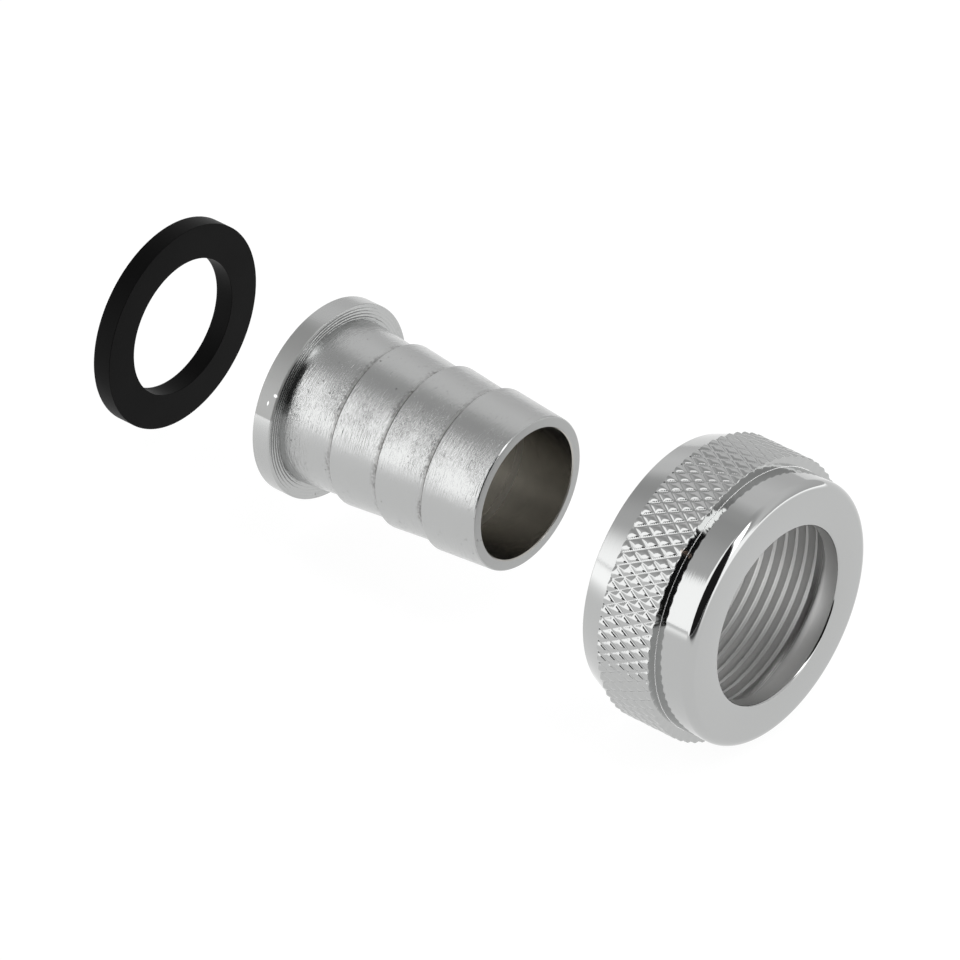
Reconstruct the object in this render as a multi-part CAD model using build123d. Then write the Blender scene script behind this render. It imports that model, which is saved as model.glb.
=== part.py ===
from build123d import *
import math
import os

# Hose coupling, taken apart along its own axis: a sealing washer, a barbed hose tail
# and a knurled union nut. Millimetres, +Z up. The axis is +X, from the sealing end
# towards the hose, and the origin is the centre of the tail's sealing face.

# Hose and thread that the coupling fits
hose_bore = 19.0
barb_grip = 2.4
thread_diameter = 30.0
thread_pitch = 1.5

# Hose tail
tail_wall = 1.45
flange_thread_clearance = 1.3
flange_thickness = 2.7
flange_edge_break = 0.2
relief_width = 0.6
relief_depth = 0.15
barb_sections = 4
barb_length = 7.25
barb_step = 0.65
barb_land = 0.85
nose_length = 0.5
nose_wall = 1.2
waterway_break = 0.15

# Sealing washer
washer_thickness = 2.6
washer_bore_clearance = 0.5
washer_thread_clearance = 0.5

# Union nut
nut_length = 16.3
mouth_wall = 1.7
mouth_edge_break = 0.2
mouth_chamfer = 0.95
rim_length = 3.6
rim_rise = 1.35
knurl_length = 7.6
knurl_height = 0.35
knurl_rows = 69
knurl_slant = 30.7
groove_depth = 0.28
collar_step = 1.4
collar_round = 0.95
shoulder_thickness = 2.05
shoulder_clearance = 0.8
hole_break = 0.3
thread_relief_length = 3.3
thread_relief_depth = 0.2

# How far apart the pieces lie
washer_gap = 22.6
nut_gap = 22.2

# Radii and places that follow
barb_crest_radius = (hose_bore + barb_grip) / 2
barb_root_radius = barb_crest_radius - barb_step
waterway_radius = barb_root_radius - tail_wall
first_barb = flange_thickness + relief_width
tail_length = first_barb + barb_sections * barb_length + nose_length
thread_minor_radius = (thread_diameter - 1.0825 * thread_pitch) / 2
flange_radius = thread_minor_radius - flange_thread_clearance
washer_outer_radius = thread_minor_radius - washer_thread_clearance
washer_inner_radius = waterway_radius + washer_bore_clearance
washer_start = -washer_gap - washer_thickness
hole_radius = barb_crest_radius + shoulder_clearance
mouth_radius = thread_diameter / 2 + mouth_wall
band_radius = mouth_radius + rim_rise
knurl_radius = band_radius + knurl_height
groove_radius = knurl_radius - groove_depth
collar_radius = knurl_radius - collar_step
relief_radius = thread_diameter / 2 + thread_relief_depth
nut_start = tail_length + nut_gap
nut_end = nut_start + nut_length
knurl_start = nut_start + rim_length
knurl_end = knurl_start + knurl_length
column_length = math.pi * knurl_radius / knurl_rows / math.tan(math.radians(knurl_slant))


def turned(points):
    """A solid of revolution about X from an outline of (x, radius) points."""
    outline = Polyline([(x, 0, r) for x, r in points], close=True)
    return revolve(make_face(outline), axis=Axis.X, revolution_arc=360)


def circles(solid, x, radius):
    """The circular edges of a turned solid at one place along the axis."""
    rims = solid.edges().filter_by(GeomType.CIRCLE)
    return rims.filter_by(lambda e: abs(e.center().X - x) < 1e-4 and abs(e.radius - radius) < 1e-4)


def make_sealing_washer():
    """A flat rubber ring that fits inside the thread and covers the tail's flange."""
    return turned([
        (washer_start, washer_inner_radius),
        (washer_start, washer_outer_radius),
        (washer_start + washer_thickness, washer_outer_radius),
        (washer_start + washer_thickness, washer_inner_radius),
    ])


def barb_outline():
    """The saw-tooth sections: a step up to a crest, a long taper and a narrow land."""
    points = []
    for section in range(barb_sections):
        crest = first_barb + section * barb_length
        points += [
            (crest, barb_crest_radius),
            (crest + barb_length - barb_land, barb_root_radius),
            (crest + barb_length, barb_root_radius),
        ]
    return points


def make_hose_tail():
    """Flange, relief groove, barbs and blunt nose around one straight waterway."""
    relief_floor = barb_crest_radius - relief_depth
    body = turned([
        (0, waterway_radius),
        (0, flange_radius),
        (flange_thickness, flange_radius),
        (flange_thickness, relief_floor),
        (first_barb, relief_floor),
        *barb_outline(),
        (tail_length, waterway_radius + nose_wall),
        (tail_length, waterway_radius),
    ])
    flange_rims = circles(body, 0, flange_radius) + circles(body, flange_thickness, flange_radius)
    body = chamfer(flange_rims, flange_edge_break)
    return chamfer(circles(body, tail_length, waterway_radius), waterway_break)


def knurl_corner(column, half_row):
    """A corner of the knurl: the tip of a diamond, or between the tips a crossing of two grooves."""
    radius = knurl_radius if (column + half_row) % 2 else groove_radius
    turn = math.pi * half_row / knurl_rows
    return (knurl_start + column_length * column, radius * math.sin(turn), radius * math.cos(turn))


def knurled_drum():
    """A drum covered in diamond pyramids, with the grooves between them crossing on its ends.

    Each square of the grid of corners folds along the groove that runs through it.
    The drum has whole columns of half diamonds, so it may be longer than the band.
    """
    half_rows = range(2 * knurl_rows)
    columns = math.ceil(knurl_length / column_length)
    facets = []
    for column in range(columns):
        for half_row in half_rows:
            square = [knurl_corner(column + i, half_row + j) for i, j in ((0, 0), (1, 0), (1, 1), (0, 1))]
            if (column + half_row) % 2:
                square = square[1:] + square[:1]
            crossing, tip, next_crossing, next_tip = square
            facets.append(Face(Wire.make_polygon([crossing, tip, next_crossing])))
            facets.append(Face(Wire.make_polygon([next_crossing, next_tip, crossing])))
    for column in (0, columns):
        rim = [knurl_corner(column, half_row) for half_row in half_rows]
        facets.append(Face(Wire.make_polygon(rim)))
    return Solid(Shell(facets))


def make_union_nut():
    """A knurled blank, with its collar turned down and bored for the thread and the tail."""
    shoulder = nut_end - shoulder_thickness
    relief_start = shoulder - thread_relief_length
    blank = turned([
        (nut_start, 0),
        (nut_start, mouth_radius),
        (knurl_start, band_radius),
        (knurl_end, band_radius),
        (knurl_end, collar_radius),
        (nut_end, collar_radius),
        (nut_end, 0),
    ])
    beyond_band = turned([
        (knurl_end, collar_radius),
        (knurl_end, knurl_radius + knurl_height),
        (nut_end, knurl_radius + knurl_height),
        (nut_end, collar_radius),
    ])
    bore = turned([
        (nut_start, 0),
        (nut_start, thread_minor_radius),
        (relief_start, thread_minor_radius),
        (relief_start, relief_radius),
        (shoulder, relief_radius),
        (shoulder, hole_radius),
        (nut_end, hole_radius),
        (nut_end, 0),
    ])
    nut = blank + knurled_drum() - beyond_band - bore
    nut = fillet(circles(nut, nut_end, collar_radius), collar_round)
    nut = chamfer(circles(nut, nut_end, hole_radius), hole_break)
    nut = chamfer(circles(nut, nut_start, thread_minor_radius), mouth_chamfer)
    return chamfer(circles(nut, nut_start, mouth_radius), mouth_edge_break)


os.makedirs("parts", exist_ok=True)
export_step(make_sealing_washer(), "parts/sealing_washer.step")
export_step(make_hose_tail(), "parts/hose_tail.step")
export_step(make_union_nut(), "parts/union_nut.step")
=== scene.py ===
import math

import bmesh
import bpy
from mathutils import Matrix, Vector


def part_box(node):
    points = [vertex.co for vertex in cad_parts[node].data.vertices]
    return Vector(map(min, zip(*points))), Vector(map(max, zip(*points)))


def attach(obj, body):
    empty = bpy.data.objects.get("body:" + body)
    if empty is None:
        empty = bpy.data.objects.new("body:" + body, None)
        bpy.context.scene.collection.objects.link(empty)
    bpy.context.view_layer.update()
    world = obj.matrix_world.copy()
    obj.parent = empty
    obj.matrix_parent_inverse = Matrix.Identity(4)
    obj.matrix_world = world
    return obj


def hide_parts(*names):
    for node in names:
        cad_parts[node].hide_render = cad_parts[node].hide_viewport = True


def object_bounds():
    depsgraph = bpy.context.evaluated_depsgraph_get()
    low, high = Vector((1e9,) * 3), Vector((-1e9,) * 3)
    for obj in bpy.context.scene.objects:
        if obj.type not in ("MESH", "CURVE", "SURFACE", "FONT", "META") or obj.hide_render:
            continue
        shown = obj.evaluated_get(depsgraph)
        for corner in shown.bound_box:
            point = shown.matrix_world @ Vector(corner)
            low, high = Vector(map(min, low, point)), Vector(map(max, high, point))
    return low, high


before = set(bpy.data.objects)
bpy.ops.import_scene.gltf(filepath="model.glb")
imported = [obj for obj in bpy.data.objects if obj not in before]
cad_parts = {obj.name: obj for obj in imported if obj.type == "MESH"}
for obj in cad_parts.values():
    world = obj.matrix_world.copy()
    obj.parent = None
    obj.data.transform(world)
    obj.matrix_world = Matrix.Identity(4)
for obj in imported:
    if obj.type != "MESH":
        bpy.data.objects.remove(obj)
cad_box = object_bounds()

# The coupling is seen from the hose end, from above and far off through a long lens,
# so the circles of all three pieces look like nearly the same ellipse.
view_turn = math.radians(39.96)
view_fall = math.radians(35.52)
view_distance = 0.9794
aim_point = Vector((0.0188, 0.0078, -0.0086))
lens_length = 300.0

towards_camera = Vector((
    math.sin(view_turn) * math.cos(view_fall),
    -math.cos(view_turn) * math.cos(view_fall),
    math.sin(view_fall),
))
camera = bpy.data.objects.new("camera", bpy.data.cameras.new("camera"))
camera.data.lens = lens_length
camera.data.dof.use_dof = False
camera.location = aim_point + view_distance * towards_camera
camera.rotation_euler = towards_camera.to_track_quat("Z", "Y").to_euler()
bpy.context.collection.objects.link(camera)
bpy.context.scene.camera = camera
bpy.context.scene.view_settings.view_transform = "Standard"


# The studio is a soft light tent with a tall soft box at its front left, a narrow strip over its
# right, a low glow at both ends and a dark opening where the camera looks in. Turns are degrees
# about the coupling's axis: 0 is level at the back, 90 is overhead and 180 is level in front.
class Wire:
    """A shader socket that Python's operators work on: each one adds a Math node."""

    def __init__(self, tree, socket=None):
        self.tree = tree
        self.socket = socket

    def node(self, kind, settings={}, sockets={}, output=0):
        """Adds a node of any kind, sets it up, fills or links its sockets, and gives one output."""
        made = self.tree.nodes.new(kind)
        for name, value in settings.items():
            if name == "stops":
                set_stops(made.color_ramp.elements, value)
            else:
                setattr(made, name, value)
        for place, value in sockets.items():
            if isinstance(value, Wire):
                self.tree.links.new(value.socket, made.inputs[place])
            else:
                made.inputs[place].default_value = value
        return Wire(self.tree, made.outputs[output] if made.outputs else None)

    def maths(self, operation, *values):
        return self.node("ShaderNodeMath", {"operation": operation}, dict(enumerate(values)))

    def __add__(self, other):
        return self.maths("ADD", self, other)

    def __sub__(self, other):
        return self.maths("SUBTRACT", self, other)

    def __mul__(self, other):
        return self.maths("MULTIPLY", self, other)

    def __truediv__(self, other):
        return self.maths("DIVIDE", self, other)

    def __rsub__(self, other):
        return self.maths("SUBTRACT", other, self)

    def __rtruediv__(self, other):
        return self.maths("DIVIDE", other, self)

    def __pow__(self, other):
        return self.maths("POWER", self, other)

    __radd__ = __add__
    __rmul__ = __mul__

    def parts(self):
        """The x, y and z of a vector."""
        split = self.node("ShaderNodeSeparateXYZ", sockets={0: self}).socket.node
        return [Wire(self.tree, out) for out in split.outputs]

    def rise(self, low, high):
        """Goes smoothly from 0 at low to 1 at high."""
        ends = {"Value": self, "From Min": low, "From Max": high}
        return self.node("ShaderNodeMapRange", {"interpolation_type": "SMOOTHSTEP"}, ends)


def set_stops(elements, stops):
    """Gives a colour ramp its (place, brightness) stops."""
    while len(elements) < len(stops):
        elements.new(1.0)
    for element, (place, level) in zip(elements, stops):
        element.position = place
        element.color = (level, level, level, 1.0)


# tent_walls gives (turn, brightness). Each pair below it is where a blurred edge starts and ends,
# along a direction's x, y or z or in turns, and soft_box_left and _right are the box's side planes.
tent_walls = [(0, 0.72), (20, 0.80), (42, 0.95), (62, 0.92), (75, 0.60), (87, 0.53),
              (100, 0.56), (112, 0.65), (124, 0.72), (180, 0.80)]
left_wall_along = (-0.95, -0.60)
left_wall_turn = 32.0
left_glow_along = (-0.6, -0.4)
left_glow_back = (-0.30, -0.10)
left_glow_up = (0.16, 0.38)
right_glow_along = (0.86, 0.92)
right_glow_turn = (98, 106)
strip_level = 3.6
strip_along = (0.15, 0.25)
strip_back_turn = (79, 82)
strip_front_turn = (100, 103)
opening_level = 0.02
opening_side = (-0.04, 0.0)
opening_turn = (101, 106)
soft_box_level = 1.93
soft_box_left = (0.775, -0.630, -0.052)
soft_box_right = (-0.9945, 0.105, 0.0)
soft_box_blur = (-0.02, 0.02)


def light_tent():
    """The tent's inside, as a brightness for each direction."""
    world = bpy.data.worlds.new("light_tent")
    world.use_nodes = True
    world.node_tree.nodes.clear()
    start = Wire(world.node_tree)
    along, back, up = start.node("ShaderNodeTexCoord", output="Generated").parts()
    turn = start.maths("ARCTAN2", up, back) * (180 / math.pi)

    def beside(edge):
        """How far a direction lies on the soft box's side of one of its edges."""
        return along * edge[0] + back * edge[1] + up * edge[2]

    stops = [(angle / 180, level) for angle, level in tent_walls]
    wall = turn + (1 - along.rise(*left_wall_along)) * left_wall_turn
    level = start.node("ShaderNodeValToRGB", {"stops": stops}, {"Fac": wall / 180})
    left_glow = (1 - up.rise(*left_glow_up)) * (1 - back.rise(*left_glow_back))
    left_glow = left_glow * (1 - along.rise(*left_glow_along))
    right_glow = along.rise(*right_glow_along) * (1 - turn.rise(*right_glow_turn))
    strip = along.rise(*strip_along) * turn.rise(*strip_back_turn) * (1 - turn.rise(*strip_front_turn))
    front = beside(soft_box_right)
    opening = (1 - front.rise(*opening_side)) * turn.rise(*opening_turn)
    soft_box = beside(soft_box_left).rise(*soft_box_blur) * front.rise(*soft_box_blur)
    for share, brightness in (
        (left_glow, soft_box_level),
        (strip, strip_level),
        (opening, opening_level),
        (soft_box + right_glow, soft_box_level),
    ):
        level = level * (1 - share) + share * brightness

    shade = start.node("ShaderNodeBackground", sockets={"Color": level})
    start.node("ShaderNodeOutputWorld", sockets={"Surface": shade})
    bpy.context.scene.world = world


light_tent()


# The table is a pale plate that glows a little, so that the coupling throws hardly any shadow
# on it. It gets more light at the left in front of the coupling, and far to the right behind it,
# and none far to the right in front.
table_radius = 3.0
table_colour = (0.12, 0.12, 0.12, 1)
table_roughness = 0.9
table_glow = 0.93
extra_glow = 0.95
table_left = (-0.12, 0.0)
table_left_front = (-0.60, -0.15)
table_left_back = (-0.04, 0.0)
table_right = (0.13, 0.25)
table_back = (-0.08, 0.0)


def put_in_scene(name, shape):
    """Turns a bmesh into an object of the scene, and frees it."""
    mesh = bpy.data.meshes.new(name)
    shape.to_mesh(mesh)
    shape.free()
    piece = bpy.data.objects.new(name, mesh)
    bpy.context.collection.objects.link(piece)
    return piece


def new_material(name):
    """A material with an empty node tree, and the wire that its nodes start from."""
    material = bpy.data.materials.new(name)
    material.use_nodes = True
    material.node_tree.nodes.clear()
    return material, Wire(material.node_tree)


def make_table():
    """A round plate, level with the lowest point of the coupling."""
    shape = bmesh.new()
    bmesh.ops.create_circle(shape, cap_ends=True, segments=64, radius=table_radius)
    bmesh.ops.translate(shape, verts=shape.verts, vec=(0, 0, cad_box[0][2]))
    table = put_in_scene("table", shape)
    material, start = new_material("pale_table")
    x, y = start.node("ShaderNodeTexCoord", output="Object").parts()[:2]
    left = (1 - x.rise(*table_left)) * y.rise(*table_left_front) * (1 - y.rise(*table_left_back))
    right = x.rise(*table_right)
    back = y.rise(*table_back)
    glow = table_glow * (1 - right * (1 - back)) + (left + right * back) * extra_glow
    shade = start.node("ShaderNodeBsdfPrincipled", sockets={
        "Base Color": table_colour,
        "Roughness": table_roughness,
        "Specular IOR Level": 0.0,
        "Emission Color": glow,
        "Emission Strength": 1.0,
    })
    start.node("ShaderNodeOutputMaterial", sockets={"Surface": shade})
    table.data.materials.append(material)


make_table()


# The sealing washer is a flat ring of black rubber, punched from sheet. Its edges are
# crisp and its faces matt, with a little bloom and dust.
washer_steps = 192
washer_hole_radius = 0.0091
washer_edge_radius = 0.00008
rubber_colour = (0.0016, 0.0016, 0.0016, 1)
rubber_roughness = 0.42
rubber_gloss = 0.055
grain_scale = 3000.0
grain_depth = 0.00002
bloom_scale = 160.0
dust_colour = (0.10, 0.10, 0.095, 1)
dust_scale = 900.0
dust_grain_edge = (0.05, 0.09)
dusty_scale = 420.0
dusty_edge = (0.66, 0.72)


def spun(name, outline, rounds, steps):
    """A piece turned about the X axis from a closed outline of (x, radius) corners.

    rounds lists (radius, segments, corners) for the corners that are rounded off.
    """
    shape = bmesh.new()
    corners = [shape.verts.new((x, 0, radius)) for x, radius in outline]
    shape.faces.new(corners)
    for radius, segments, chosen in rounds:
        bmesh.ops.bevel(shape, geom=[corners[i] for i in chosen], offset=radius, affect="VERTICES",
                        offset_type="OFFSET", segments=segments, profile=0.5, material=-1)
    bmesh.ops.delete(shape, geom=shape.faces[:], context="FACES_ONLY")
    bmesh.ops.spin(shape, geom=shape.verts[:] + shape.edges[:], cent=(0, 0, 0), axis=(1, 0, 0),
                   dvec=(0, 0, 0), angle=2 * math.pi, steps=steps, use_merge=True)
    bmesh.ops.recalc_face_normals(shape, faces=shape.faces)
    return put_in_scene(name, shape)


def smooth_finish(piece, sharp_over=35):
    """Shades a piece smooth between its edges, its flats kept flat up to their corners."""
    piece.data.shade_smooth()
    piece.data.set_sharp_from_angle(angle=math.radians(sharp_over))
    weighted = piece.modifiers.new("weighted_normals", "WEIGHTED_NORMAL")
    weighted.keep_sharp = True
    weighted.weight = 80


def noise(start, scale, **more):
    """Cloudy noise over a piece, with more sockets of the node by name."""
    place = start.node("ShaderNodeTexCoord", output="Object")
    return start.node("ShaderNodeTexNoise", sockets={"Vector": place, "Scale": scale, **more})


def grains(start, scale):
    """How far a place is from the nearest of many scattered grains."""
    place = start.node("ShaderNodeTexCoord", output="Object")
    return start.node("ShaderNodeTexVoronoi", sockets={"Vector": place, "Scale": scale})


def layered(start, colour, layers):
    """A colour under others, each laid over it as far as its share says."""
    for share, over in layers:
        colour = start.node("ShaderNodeMix", {"data_type": "RGBA"}, {0: share, 6: colour, 7: over},
                            output=2)
    return colour


def rubber():
    """Matt black rubber with a fine grain, a slight bloom and a little dust."""
    material, start = new_material("washer_rubber")
    speck = 1 - grains(start, dust_scale).rise(*dust_grain_edge)
    dusty = noise(start, dusty_scale).rise(*dusty_edge)
    bump = start.node("ShaderNodeBump", sockets={
        "Height": noise(start, grain_scale, Detail=3.0),
        "Strength": 0.35,
        "Distance": grain_depth,
    })
    shade = start.node("ShaderNodeBsdfPrincipled", sockets={
        "Base Color": layered(start, rubber_colour, [(speck * dusty * 0.5, dust_colour)]),
        "Roughness": rubber_roughness + noise(start, bloom_scale, Detail=4.0) * 0.12,
        "Specular IOR Level": rubber_gloss,
        "Normal": bump,
    })
    start.node("ShaderNodeOutputMaterial", sockets={"Surface": shade})
    return material


washer_low, washer_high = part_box("sealing_washer")
washer = spun("washer_ring", [
    (washer_low[0], washer_hole_radius),
    (washer_low[0], washer_high[2]),
    (washer_high[0], washer_high[2]),
    (washer_high[0], washer_hole_radius),
], [(washer_edge_radius, 2, range(4))], washer_steps)
smooth_finish(washer)
washer.data.materials.append(rubber())
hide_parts("sealing_washer")
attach(washer, "washer")


# The hose tail is turned from brass bar and chromed: a sealing flange, a narrow relief behind it
# and four saw-tooth barbs, the last of which runs out at the rounded end. Its bore, drilled right
# through, is duller and darker.
tail_steps = 256
tail_bore_radius = 0.0086
flange_thickness = 0.0027
relief_width = 0.0006
relief_radius = 0.01055
barb_count = 4
barb_length = 0.00725
barb_crest_radius = 0.0107
barb_root_radius = 0.01005
barb_land = 0.00085
nose_round = 0.00025
tail_bore_break = 0.00015
flange_edge_radius = 0.0002
crest_edge_radius = 0.00006
chrome_colour = (0.452, 0.457, 0.454, 1)
# Duller chrome for stains, wear and end faces, and as painted shade on the nut's thread crests.
dull_and_shade_colour = (0.30, 0.30, 0.295, 1)
# Dark for dirt specks, for blotches before the barbs' steps, and as painted shade at each step's foot.
dirt_and_shade_colour = (0.05, 0.045, 0.04, 1)
bore_colour = (0.455, 0.442, 0.413, 1)
chip_glint_colour = (0.95, 0.95, 0.95, 1)
tail_roughness = 0.19
tail_mark_depth = 0.00005
ridge_pitch = 0.0004

tail_low, tail_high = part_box("hose_tail")
tail_start, tail_end, flange_radius = tail_low[0], tail_high[0], tail_high[2]
flange_back = tail_start + flange_thickness
first_barb = flange_back + relief_width

# Each pair is where one kind of wear, darkening or painted shade starts and is full, or fades and
# ends: along the axis, out from it, along one barb, or in turns. A chip glint has its place, its
# turn, and half its size each way.
tail_bore_edge = (tail_bore_radius + 0.0001, tail_bore_radius + 0.0002)
flange_rim_edge = (flange_radius - 0.0003, flange_radius - 0.0002)
stain_starts = (98, 110)
stain_ends = (162.5, 163.5)
flange_back_edge = (flange_back - 0.0001, flange_back - 0.00002)
ridges_start = (0.0109, 0.0111)
ridges_end = (0.0124, 0.0126)
end_face_edge = (tail_end - 0.00006, tail_end - 0.00003)
barb_root_edge = (barb_root_radius + 0.00004, barb_root_radius + 0.00010)
last_root_edge = (tail_end - 2 * barb_land, tail_end - 2 * barb_land + 0.0001)
land_edge = (barb_length - barb_land - 0.0001, barb_length - barb_land + 0.0001)
corner_edge = (barb_length - 0.00056, barb_length - 0.00046)
step_blotch_edge = (barb_length - 0.0016, barb_length - 0.0006)
# Two nicks in the flange's rim, painted near white as glints where they catch the light.
flange_chip_glints = [
    (tail_start + 0.00235, 149, 0.0003, 0.0002),
    (tail_start + 0.0016, 154.5, 0.00012, 0.0003),
]
scratch_edge = (0.62, 0.70)
spot_edge = (0.7, 1.2)
patch_edge = (0.35, 0.65)
speck_edge = (0.12, 0.30)
speck_patch_width = 0.05


def tail_outline():
    """Corners of the tail's section, and which of them are rounded off."""
    corners = [
        (tail_start, tail_bore_radius),
        (tail_start, flange_radius),
        (flange_back, flange_radius),
        (flange_back, relief_radius),
        (first_barb, relief_radius),
    ]
    crests = []
    for barb in range(barb_count):
        crest = first_barb + barb * barb_length
        crests.append(len(corners))
        corners.append((crest, barb_crest_radius))
        if barb < barb_count - 1:
            corners.append((crest + barb_length - barb_land, barb_root_radius))
            corners.append((crest + barb_length, barb_root_radius))
    nose = len(corners)
    corners += [
        (tail_end, barb_root_radius),
        (tail_end, tail_bore_radius + tail_bore_break),
        (tail_end - tail_bore_break, tail_bore_radius),
    ]
    return corners, [
        (flange_edge_radius, 3, (1, 2)),
        (crest_edge_radius, 3, crests),
        (nose_round, 4, (nose,)),
    ]


def off_axis(start):
    """The x, y and z of a point, and how far it lies out from the axis."""
    x, y, z = start.node("ShaderNodeTexCoord", output="Object").parts()
    return x, y, z, (y * y + z * z) ** 0.5


def axis_places(start):
    """How far along the axis a point lies, how far out from it, and its turn about it in degrees."""
    x, y, z, out = off_axis(start)
    turn = 180 - start.maths("ARCTAN2", z, 0 - y) * (180 / math.pi)
    return x, out, turn


def spot(places, x, turn, half_length, half_width):
    """A small worn place: 1 inside an oval on the turned surface, 0 outside it."""
    along = (places[0] - x) / half_length
    across = (places[2] - turn) * places[1] * (math.pi / 180 / half_width)
    return 1 - ((along * along + across * across) ** 0.5).rise(*spot_edge)


def tool_marks(start, marks, sweep):
    """Fine rings that turning or brushing left, which come and go as they run round the piece."""
    x, y, z, out = off_axis(start)
    rings = start.node("ShaderNodeCombineXYZ", sockets={
        0: (x + out) * marks,
        1: y / out * sweep,
        2: z / out * sweep,
    })
    return start.node("ShaderNodeTexNoise", sockets={
        "Vector": rings,
        "Scale": 1.0,
        "Detail": 3.0,
        "Roughness": 0.6,
    })


def patches(start, scale):
    """Soft blotches between 0 and 1."""
    return noise(start, scale).rise(*patch_edge)


def specks(start, scale, share):
    """Small dark grains of dirt, here and there."""
    sparse = noise(start, scale / 3).rise(1 - share, 1 - share + speck_patch_width)
    return (1 - grains(start, scale).rise(*speck_edge)) * sparse


def metal(start, colour, roughness, height, depth):
    """Finishes a material as bright metal with the given marks in it."""
    bump = start.node("ShaderNodeBump", sockets={"Height": height, "Strength": 1.0, "Distance": depth})
    shade = start.node("ShaderNodeBsdfPrincipled", sockets={
        "Base Color": colour,
        "Metallic": 1.0,
        "Roughness": roughness,
        "Normal": bump,
    })
    start.node("ShaderNodeOutputMaterial", sockets={"Surface": shade})


def tail_chrome():
    """Chrome over brass: brushed barbs, a turned flange with a stained rim, and a duller bore."""
    material, start = new_material("tail_chrome")
    places = axis_places(start)
    x, out, turn = places
    inside = 1 - out.rise(*tail_bore_edge)
    rim = out.rise(*flange_rim_edge)
    stain = rim * turn.rise(*stain_starts) * (1 - turn.rise(*stain_ends))
    # The nicks are painted near white, as glints.
    chip_glints = [spot(places, *chip_glint) for chip_glint in flange_chip_glints]
    behind = x.rise(*flange_back_edge) * out.rise(*ridges_start) * (1 - out.rise(*ridges_end))
    ridges = start.maths("SINE", out * (2 * math.pi / ridge_pitch)) * behind
    end_face = x.rise(*end_face_edge) * (1 - inside)

    root = (1 - out.rise(*barb_root_edge)) * (1 - x.rise(*last_root_edge))
    section = start.maths("FLOORED_MODULO", x - first_barb, barb_length)
    land = section.rise(*land_edge) * root
    # The last half millimetre of each land, at the foot of the next step, is painted shade of an
    # undercut.
    corner = section.rise(*corner_edge) * root
    # Darker in blotches over the last millimetre or so before each step.
    step_blotches = section.rise(*step_blotch_edge) * root * patches(start, scale=2500.0) * patches(start, scale=400.0)

    brushed = (1 - rim) * (1 - inside) * (1 - end_face)
    marks = tool_marks(start, marks=6000.0, sweep=6.0)
    scratches = tool_marks(start, marks=2600.0, sweep=14.0).rise(*scratch_edge)
    scratches = scratches * patches(start, scale=300.0) * brushed
    dirt = specks(start, scale=1500.0, share=0.36) * (1 - inside)
    colour = layered(start, chrome_colour, [
        (rim * 0.05 + stain * 0.5, dull_and_shade_colour),
        (end_face * 0.15, dull_and_shade_colour),
        (land * 0.35, dull_and_shade_colour),
        (corner * 0.75, dirt_and_shade_colour),
        (step_blotches * 0.6, dirt_and_shade_colour),
        (scratches * 0.35, dull_and_shade_colour),
        (dirt * 0.5, dirt_and_shade_colour),
        (inside, bore_colour),
        (chip_glints[0] + chip_glints[1], chip_glint_colour),
    ])
    roughness = tail_roughness + rim * 0.06 + stain * 0.30 + end_face * 0.3 + land * 0.15 + inside * 0.05
    marks = marks * (0.15 + brushed * (0.5 + patches(start, scale=200.0) * 0.8))
    metal(start, colour, roughness, marks + scratches * 0.3 + ridges * 0.5, tail_mark_depth)
    return material


tail = spun("tail_body", *tail_outline(), tail_steps)
smooth_finish(tail)
tail.data.materials.append(tail_chrome())
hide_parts("hose_tail")
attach(tail, "tail")


# The union nut is turned from brass bar, knurled in diamonds, tapped with a fine female
# thread and chromed. Its collar is polished, and the shoulder inside it holds the tail's flange.
mouth_radius = 0.0167
mouth_edge_radius = 0.0002
mouth_chamfer = 0.00095
rim_length = 0.0036
knurl_length = 0.0076
knurl_radius = 0.0184
groove_radius = 0.01814
knurl_cushion = 2.2
knurl_rows = 69
knurl_slant = math.radians(30.7)
column_length = math.pi * knurl_radius / knurl_rows / math.tan(knurl_slant)
step_corner_radius = 0.00005
collar_radius = 0.0170
collar_round = 0.0012
shoulder_thickness = 0.00205
hole_radius = 0.0115
hole_round = 0.0003
thread_relief_length = 0.0033
thread_relief_radius = 0.0152
thread_pitch = 0.0015
thread_flank = math.radians(30)
thread_root_flat = thread_pitch / 8
thread_major_radius = 0.0150
thread_minor_radius = 0.014188
thread_steps = 96
tap_overlap = 0.0003
thread_colour = (0.54, 0.54, 0.535, 1)
rust_colour = (0.36, 0.22, 0.14, 1)
corner_reflection_colour = (0.9, 0.9, 0.9, 1)
nut_roughness = 0.07
nut_mark_depth = 0.0000035

nut_low, nut_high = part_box("union_nut")
nut_start, nut_end = nut_low[0], nut_high[0]
knurl_start = nut_start + rim_length
knurl_end = knurl_start + knurl_length

# The band's mesh splits each half diamond into knurl_split steps both ways. The grooves cross one
# step along from the band's start and two steps round from the top.
knurl_split = 6
steps_along = 1
steps_round = 2
knurl_step = column_length / knurl_split
nut_steps = 2 * knurl_rows * knurl_split
first_crossing = knurl_start + knurl_step * steps_along
groove_bottom = 1e-4
band_margin = 0.00001

# Pairs as on the tail. The corner reflection is a painted bright line between knurl and collar.
nut_bore_edge = (thread_relief_radius + 0.0001, thread_relief_radius + 0.0002)
nut_hole_edge = (nut_end - 0.0003, nut_end - 0.0002)
thread_crest_edge = (thread_minor_radius + 0.00002, thread_minor_radius + 0.00006)
thread_starts = (nut_start + mouth_chamfer, nut_start + mouth_chamfer + 0.0001)
thread_ends = (knurl_end, knurl_end + 0.0001)
corner_reflection_starts = (knurl_end - 0.00002, knurl_end)
corner_reflection_ends = (knurl_end + 0.00004, knurl_end + 0.00008)
corner_reflection_top = (collar_radius + 0.00004, collar_radius + 0.00008)
rust_spot = (knurl_end + 0.0001, 131, 0.0004, 0.0004)


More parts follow.
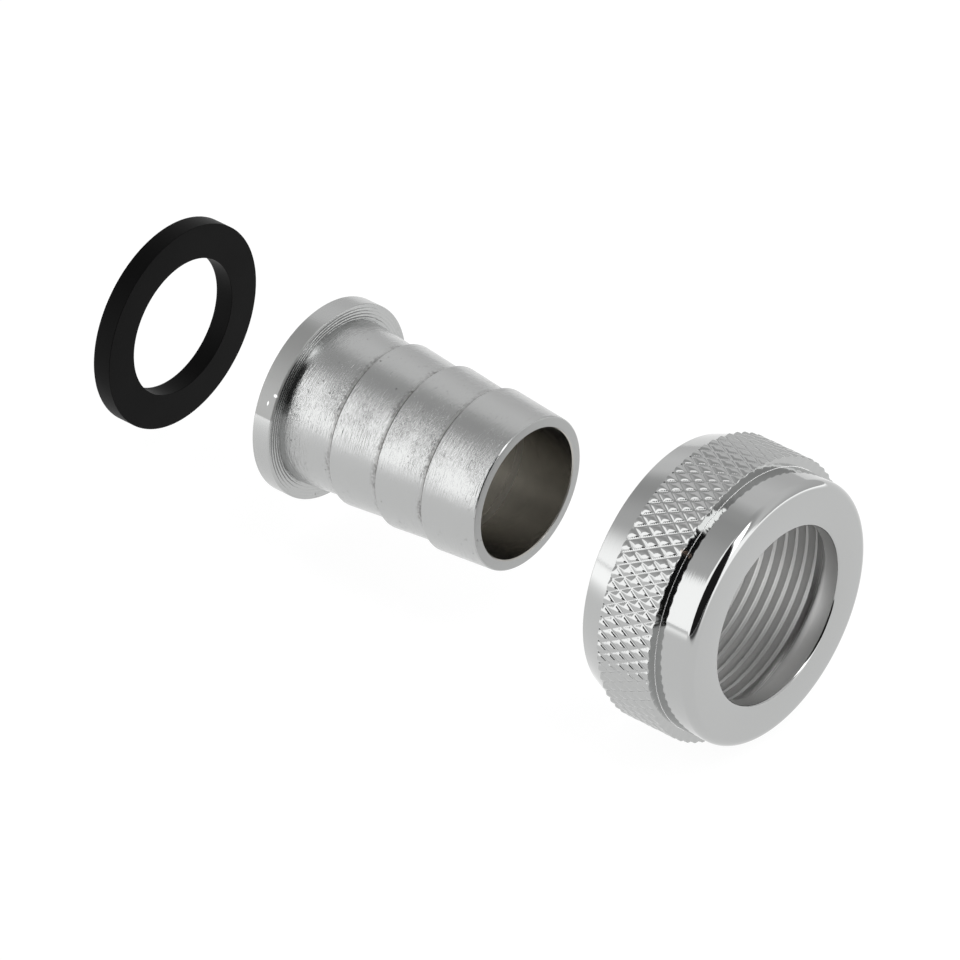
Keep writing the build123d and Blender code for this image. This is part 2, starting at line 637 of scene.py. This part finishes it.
def knurl_height(x, turn):
    """How high the cushioned diamonds stand between the grooves' bottoms, 0, and their tips, 1."""
    along = (x - first_crossing) / column_length
    across = turn * knurl_rows / math.pi - steps_round / knurl_split
    crossings = (across + along) / 2, (across - along) / 2
    return 1 - (1 - 2 * min(abs(place - round(place)) for place in crossings)) ** knurl_cushion


def nut_outline():
    """Corners of the nut's section, and which of them are rounded off."""
    shoulder = nut_end - shoulder_thickness
    relief_start = shoulder - thread_relief_length
    rings = math.ceil(knurl_length / column_length * knurl_split)
    corners = [
        (nut_start, thread_minor_radius + mouth_chamfer),
        (nut_start, mouth_radius),
        (knurl_start, groove_radius),
    ]
    corners += [(knurl_start + knurl_step * i, knurl_radius) for i in range(rings)]
    step = len(corners)
    corners += [
        (knurl_end, knurl_radius),
        (knurl_end, collar_radius),
        (nut_end, collar_radius),
        (nut_end, hole_radius),
        (shoulder, hole_radius),
        (shoulder, thread_relief_radius),
        (relief_start, thread_relief_radius),
        (relief_start, thread_minor_radius),
        (nut_start + mouth_chamfer, thread_minor_radius),
    ]
    return corners, [
        (mouth_edge_radius, 3, (1,)),
        (step_corner_radius, 2, (step,)),
        (collar_round, 8, (step + 2,)),
        (hole_round, 4, (step + 3,)),
    ]


def cut_knurl(piece):
    """Sinks the grooves between the diamonds into the band, and folds its faces along them."""
    shape = bmesh.new()
    shape.from_mesh(piece.data)
    heights = {}
    for vertex in shape.verts:
        x, y, z = vertex.co
        out = math.hypot(y, z)
        if out > (groove_radius + knurl_radius) / 2:
            heights[vertex] = knurl_height(x, math.atan2(y, z))
            wanted = groove_radius + (knurl_radius - groove_radius) * heights[vertex]
            vertex.co.y *= wanted / knurl_radius
            vertex.co.z *= wanted / knurl_radius
    for face in shape.faces[:]:
        bottom = [vertex for vertex in face.verts if heights.get(vertex, 1) < groove_bottom]
        if len(bottom) == 2 and all(vertex in heights for vertex in face.verts):
            bmesh.utils.face_split(face, *bottom)
    shape.to_mesh(piece.data)
    shape.free()


def soften_grooves(piece):
    """Shades the knurl smooth across its grooves, whose bottoms the rolling tool left round."""
    mesh = piece.data
    places = [vertex.co for vertex in mesh.vertices]
    banded = [math.hypot(place.y, place.z) > groove_radius - band_margin
              and knurl_start + band_margin < place.x < knurl_end - band_margin for place in places]
    for edge in mesh.edges:
        if all(banded[corner] for corner in edge.vertices):
            edge.use_edge_sharp = False


def thread_tap():
    """The space of one thread groove, wound along the bore as a right-hand screw."""
    narrow = thread_root_flat / 2
    wide = narrow + (thread_major_radius - thread_minor_radius + tap_overlap) * math.tan(thread_flank)
    first = nut_start - thread_pitch
    turns = (rim_length + knurl_length + 2 * thread_pitch) / thread_pitch
    shape = bmesh.new()
    corners = [shape.verts.new((first + x, 0, radius)) for x, radius in (
        (-wide, thread_minor_radius - tap_overlap),
        (-narrow, thread_major_radius),
        (narrow, thread_major_radius),
        (wide, thread_minor_radius - tap_overlap),
    )]
    for one, other in zip(corners, corners[1:] + corners[:1]):
        shape.edges.new((one, other))
    steps = round(turns * thread_steps)
    bmesh.ops.spin(shape, geom=shape.verts[:] + shape.edges[:], cent=(0, 0, 0), axis=(1, 0, 0),
                   dvec=(thread_pitch / thread_steps, 0, 0), angle=2 * math.pi * steps / thread_steps,
                   steps=steps, use_merge=False)
    open_edges = [edge for edge in shape.edges if edge.is_boundary]
    bmesh.ops.holes_fill(shape, edges=open_edges, sides=4)
    bmesh.ops.recalc_face_normals(shape, faces=shape.faces)
    return put_in_scene("thread_tap", shape)


def cut_with(piece, cutter):
    """Takes the cutter's shape out of a piece for good, and removes the cutter."""
    cut = piece.modifiers.new("cut", "BOOLEAN")
    cut.operation = "DIFFERENCE"
    cut.solver = "EXACT"
    cut.object = cutter
    view = bpy.context.evaluated_depsgraph_get()
    result = bpy.data.meshes.new_from_object(piece.evaluated_get(view))
    piece.modifiers.clear()
    piece.data = result
    bpy.data.objects.remove(cutter)


def nut_chrome():
    """Polished chrome outside, with the duller thread, bore and hole left as they were cut.

    The thread's crests are darkened further as painted shade, and a painted reflection lines the
    corner between knurl and collar.
    """
    material, start = new_material("nut_chrome")
    places = axis_places(start)
    x, out = places[:2]
    inside = (1 - out.rise(*nut_bore_edge)) * (1 - x.rise(*nut_hole_edge))
    # The thread's crests are painted darker: painted shade that tones down the light they catch.
    crest = (1 - out.rise(*thread_crest_edge)) * x.rise(*thread_starts) * (1 - x.rise(*thread_ends))
    # A thin painted reflection of the light strip, in the corner between knurl and collar.
    corner_reflection = x.rise(*corner_reflection_starts) * (1 - x.rise(*corner_reflection_ends)) * (1 - out.rise(*corner_reflection_top))
    rust = spot(places, *rust_spot) * patches(start, scale=4000.0)
    dirt = specks(start, scale=1100.0, share=0.30)
    colour = layered(start, chrome_colour, [
        (dirt * 0.5, dirt_and_shade_colour),
        (rust * 0.8, rust_colour),
        (inside, thread_colour),
        (crest * 0.6, dull_and_shade_colour),
        (corner_reflection, corner_reflection_colour),
    ])
    roughness = nut_roughness + inside * 0.35 + rust * 0.4 + corner_reflection * 0.5
    metal(start, colour, roughness, tool_marks(start, marks=5000.0, sweep=3.0), nut_mark_depth)
    return material


nut = spun("nut_body", *nut_outline(), nut_steps)
cut_with(nut, thread_tap())
cut_knurl(nut)
smooth_finish(nut, sharp_over=50)
soften_grooves(nut)
nut.data.materials.append(nut_chrome())
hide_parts("union_nut")
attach(nut, "nut")
